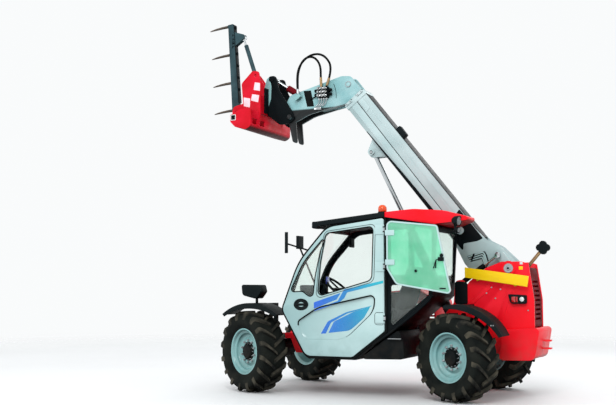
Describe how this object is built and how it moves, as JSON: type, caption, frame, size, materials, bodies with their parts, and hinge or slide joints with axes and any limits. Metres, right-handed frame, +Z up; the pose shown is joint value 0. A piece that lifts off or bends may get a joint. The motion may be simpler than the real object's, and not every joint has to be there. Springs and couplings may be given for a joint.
{
  "type": "telehandler",
  "caption": "Compact telehandler with a side cab, four steered wheels, a raised telescopic boom and a hydraulic grab on its quick coupler.",
  "frame": {"origin": "on the ground, midway along the machine's length and width as it stands with the boom raised", "axes": "+X forwards, +Y to the machine's left, +Z up"},
  "size_m": [4.1778, 2.1316, 4.3918],
  "materials": {
    "red_paint": "satin",
    "dark_red_paint": "satin",
    "black_paint": "satin",
    "silver_paint": "satin",
    "boom_paint": "satin",
    "head_paint": "satin",
    "arm_paint": "satin",
    "yellow_paint": "satin",
    "rim_paint": "satin",
    "engine": "rough",
    "steel": "brushed",
    "chrome": "polished",
    "black_plastic": "matte",
    "seat_cover": "matte",
    "hose_rubber": "matte",
    "tyre": "matte",
    "orange_lens": "gloss",
    "glass": "clear"
  },
  "bodies": {
    "chassis": {"chassis_frame": "red_paint", "frame_pins": "steel", "axle_front": "black_paint", "axle_rear": "black_paint", "engine_block": "engine", "engine_hood": "red_paint", "tail_shell": "black_paint", "counterweight": "red_paint", "guard_bar": "yellow_paint", "fenders": "black_plastic", "side_box": "black_plastic", "cab_frame": "black_paint", "cab_roof": "black_paint", "roof_cover": "red_paint", "cab_glass": "glass", "seat": "seat_cover", "dashboard": "black_plastic", "mirrors": "black_plastic", "lamps": "black_plastic", "beacon": "orange_lens", "rear_lamp": "black_plastic", "window_glass": "glass"},
    "door": {"door_panel": "silver_paint", "door_glass": "glass"},
    "boom": {"boom_outer": "boom_paint"},
    "telescope": {"boom_inner": "boom_paint", "boom_head": "head_paint", "couplings": "steel", "hose_low": "hose_rubber", "hose_high": "hose_rubber"},
    "carriage": {"carriage": "black_paint", "grab_frame": "red_paint"},
    "grab_arm": {"grab_arm": "arm_paint"},
    "lift_barrel": {"lift_barrel": "black_paint"},
    "lift_rod": {"lift_rod": "chrome"},
    "comp_barrel": {"comp_barrel": "black_paint"},
    "comp_rod": {"comp_rod": "chrome"},
    "tilt_barrel": {"tilt_barrel": "dark_red_paint"},
    "tilt_rod": {"tilt_rod": "chrome"},
    "grab_barrel": {"grab_barrel": "black_paint"},
    "grab_rod": {"grab_rod": "chrome"},
    "knuckle_front_left": {"knuckle_front_left": "black_paint"},
    "wheel_front_left": {"tyre_front_left": "tyre", "rim_front_left": "rim_paint"},
    "knuckle_front_right": {"knuckle_front_right": "black_paint"},
    "wheel_front_right": {"tyre_front_right": "tyre", "rim_front_right": "rim_paint"},
    "knuckle_rear_left": {"knuckle_rear_left": "black_paint"},
    "wheel_rear_left": {"tyre_rear_left": "tyre", "rim_rear_left": "rim_paint"},
    "knuckle_rear_right": {"knuckle_rear_right": "black_paint"},
    "wheel_rear_right": {"tyre_rear_right": "tyre", "rim_rear_right": "rim_paint"}
  },
  "joints": [
    {"name": "door_hinge", "type": "hinge", "parent": "chassis", "child": "door", "pos_m": [-0.59415, 0.914, 1.3], "axis": [0, 0, 1], "range_deg": [0, 85]},
    {"name": "boom_lift", "type": "hinge", "parent": "chassis", "child": "boom", "pos_m": [-1.70315, 0, 1.333], "axis": [0, -1, 0], "range_deg": [-53, 12]},
    {"name": "boom_extend", "type": "slide", "parent": "boom", "child": "telescope", "axis": [0.6225, 0, 0.7826], "range_m": [0, 1.5]},
    {"name": "carriage_tilt", "type": "hinge", "parent": "telescope", "child": "carriage", "pos_m": [0.90241, -0.07, 3.14361], "axis": [0, 1, 0], "range_deg": [-30, 30]},
    {"name": "grab_swing", "type": "hinge", "parent": "carriage", "child": "grab_arm", "pos_m": [1.69685, -0.07, 3.3], "axis": [0, 1, 0], "range_deg": [0, 45]},
    {"name": "lift_barrel_hinge", "type": "hinge", "parent": "chassis", "child": "lift_barrel", "pos_m": [-1.03815, -0.07, 0.74], "axis": [0, 1, 0], "range_deg": [-12.56, 55.41]},
    {"name": "lift_rod_slide", "type": "slide", "parent": "lift_barrel", "child": "lift_rod", "axis": [0.4337, 0, 0.901], "range_m": [-0.75902, 0.17224]},
    {"name": "comp_barrel_hinge", "type": "hinge", "parent": "chassis", "child": "comp_barrel", "pos_m": [-1.16815, 0.13, 1.175], "axis": [0, 1, 0], "range_deg": [-11.15, 2.54]},
    {"name": "comp_rod_slide", "type": "slide", "parent": "comp_barrel", "child": "comp_rod", "axis": [-0.8014, 0, 0.5982], "range_m": [-0.1411, 0.03233]},
    {"name": "tilt_barrel_hinge", "type": "hinge", "parent": "telescope", "child": "tilt_barrel", "pos_m": [0.66144, -0.07, 3.30973], "axis": [0, 1, 0], "range_deg": [-24.06, 24.06]},
    {"name": "tilt_rod_slide", "type": "slide", "parent": "tilt_barrel", "child": "tilt_rod", "axis": [0.8454, 0, 0.5342], "range_m": [-0.14035, 0.14035]},
    {"name": "grab_barrel_hinge", "type": "hinge", "parent": "carriage", "child": "grab_barrel", "pos_m": [1.42885, -0.07, 3.69], "axis": [0, 1, 0], "range_deg": [-0.02, 52.34]},
    {"name": "grab_rod_slide", "type": "slide", "parent": "grab_barrel", "child": "grab_rod", "axis": [0.325, 0, 0.9457], "range_m": [-0.0005, 0.33744]},
    {"name": "steer_front_left", "type": "hinge", "parent": "chassis", "child": "knuckle_front_left", "pos_m": [0.99185, 0.7, 0.44], "axis": [0, 0, 1], "range_deg": [-11, 65]},
    {"name": "spin_front_left", "type": "hinge", "parent": "knuckle_front_left", "child": "wheel_front_left", "pos_m": [1.01228, 0.74009, 0.44], "axis": [0.454, 0.891, 0], "continuous": true},
    {"name": "steer_front_right", "type": "hinge", "parent": "chassis", "child": "knuckle_front_right", "pos_m": [0.99185, -0.7, 0.44], "axis": [0, 0, 1], "range_deg": [-11, 65]},
    {"name": "spin_front_right", "type": "hinge", "parent": "knuckle_front_right", "child": "wheel_front_right", "pos_m": [0.97142, -0.74009, 0.44], "axis": [0.454, 0.891, 0], "continuous": true},
    {"name": "steer_rear_left", "type": "hinge", "parent": "chassis", "child": "knuckle_rear_left", "pos_m": [-1.30815, 0.7, 0.44], "axis": [0, 0, 1], "range_deg": [-11, 65]},
    {"name": "spin_rear_left", "type": "hinge", "parent": "knuckle_rear_left", "child": "wheel_rear_left", "pos_m": [-1.28772, 0.74009, 0.44], "axis": [0.454, 0.891, 0], "continuous": true},
    {"name": "steer_rear_right", "type": "hinge", "parent": "chassis", "child": "knuckle_rear_right", "pos_m": [-1.30815, -0.7, 0.44], "axis": [0, 0, 1], "range_deg": [-11, 65]},
    {"name": "spin_rear_right", "type": "hinge", "parent": "knuckle_rear_right", "child": "wheel_rear_right", "pos_m": [-1.32858, -0.74009, 0.44], "axis": [0.454, 0.891, 0], "continuous": true}
  ],
  "couplings": [
    {"joint": "lift_barrel_hinge", "follows": "boom_lift", "ratio": -1.045},
    {"joint": "lift_rod_slide", "follows": "boom_lift", "m_per_rad": 0.82},
    {"joint": "comp_barrel_hinge", "follows": "boom_lift", "ratio": 0.21},
    {"joint": "comp_rod_slide", "follows": "boom_lift", "m_per_rad": 0.152},
    {"joint": "tilt_barrel_hinge", "follows": "carriage_tilt", "ratio": 0.8013},
    {"joint": "tilt_rod_slide", "follows": "carriage_tilt", "m_per_rad": 0.2671},
    {"joint": "grab_barrel_hinge", "follows": "grab_swing", "ratio": 1.1626},
    {"joint": "grab_rod_slide", "follows": "grab_swing", "m_per_rad": 0.429},
    {"joint": "steer_front_right", "follows": "steer_front_left", "ratio": 1},
    {"joint": "steer_rear_right", "follows": "steer_rear_left", "ratio": 1}
  ]
}
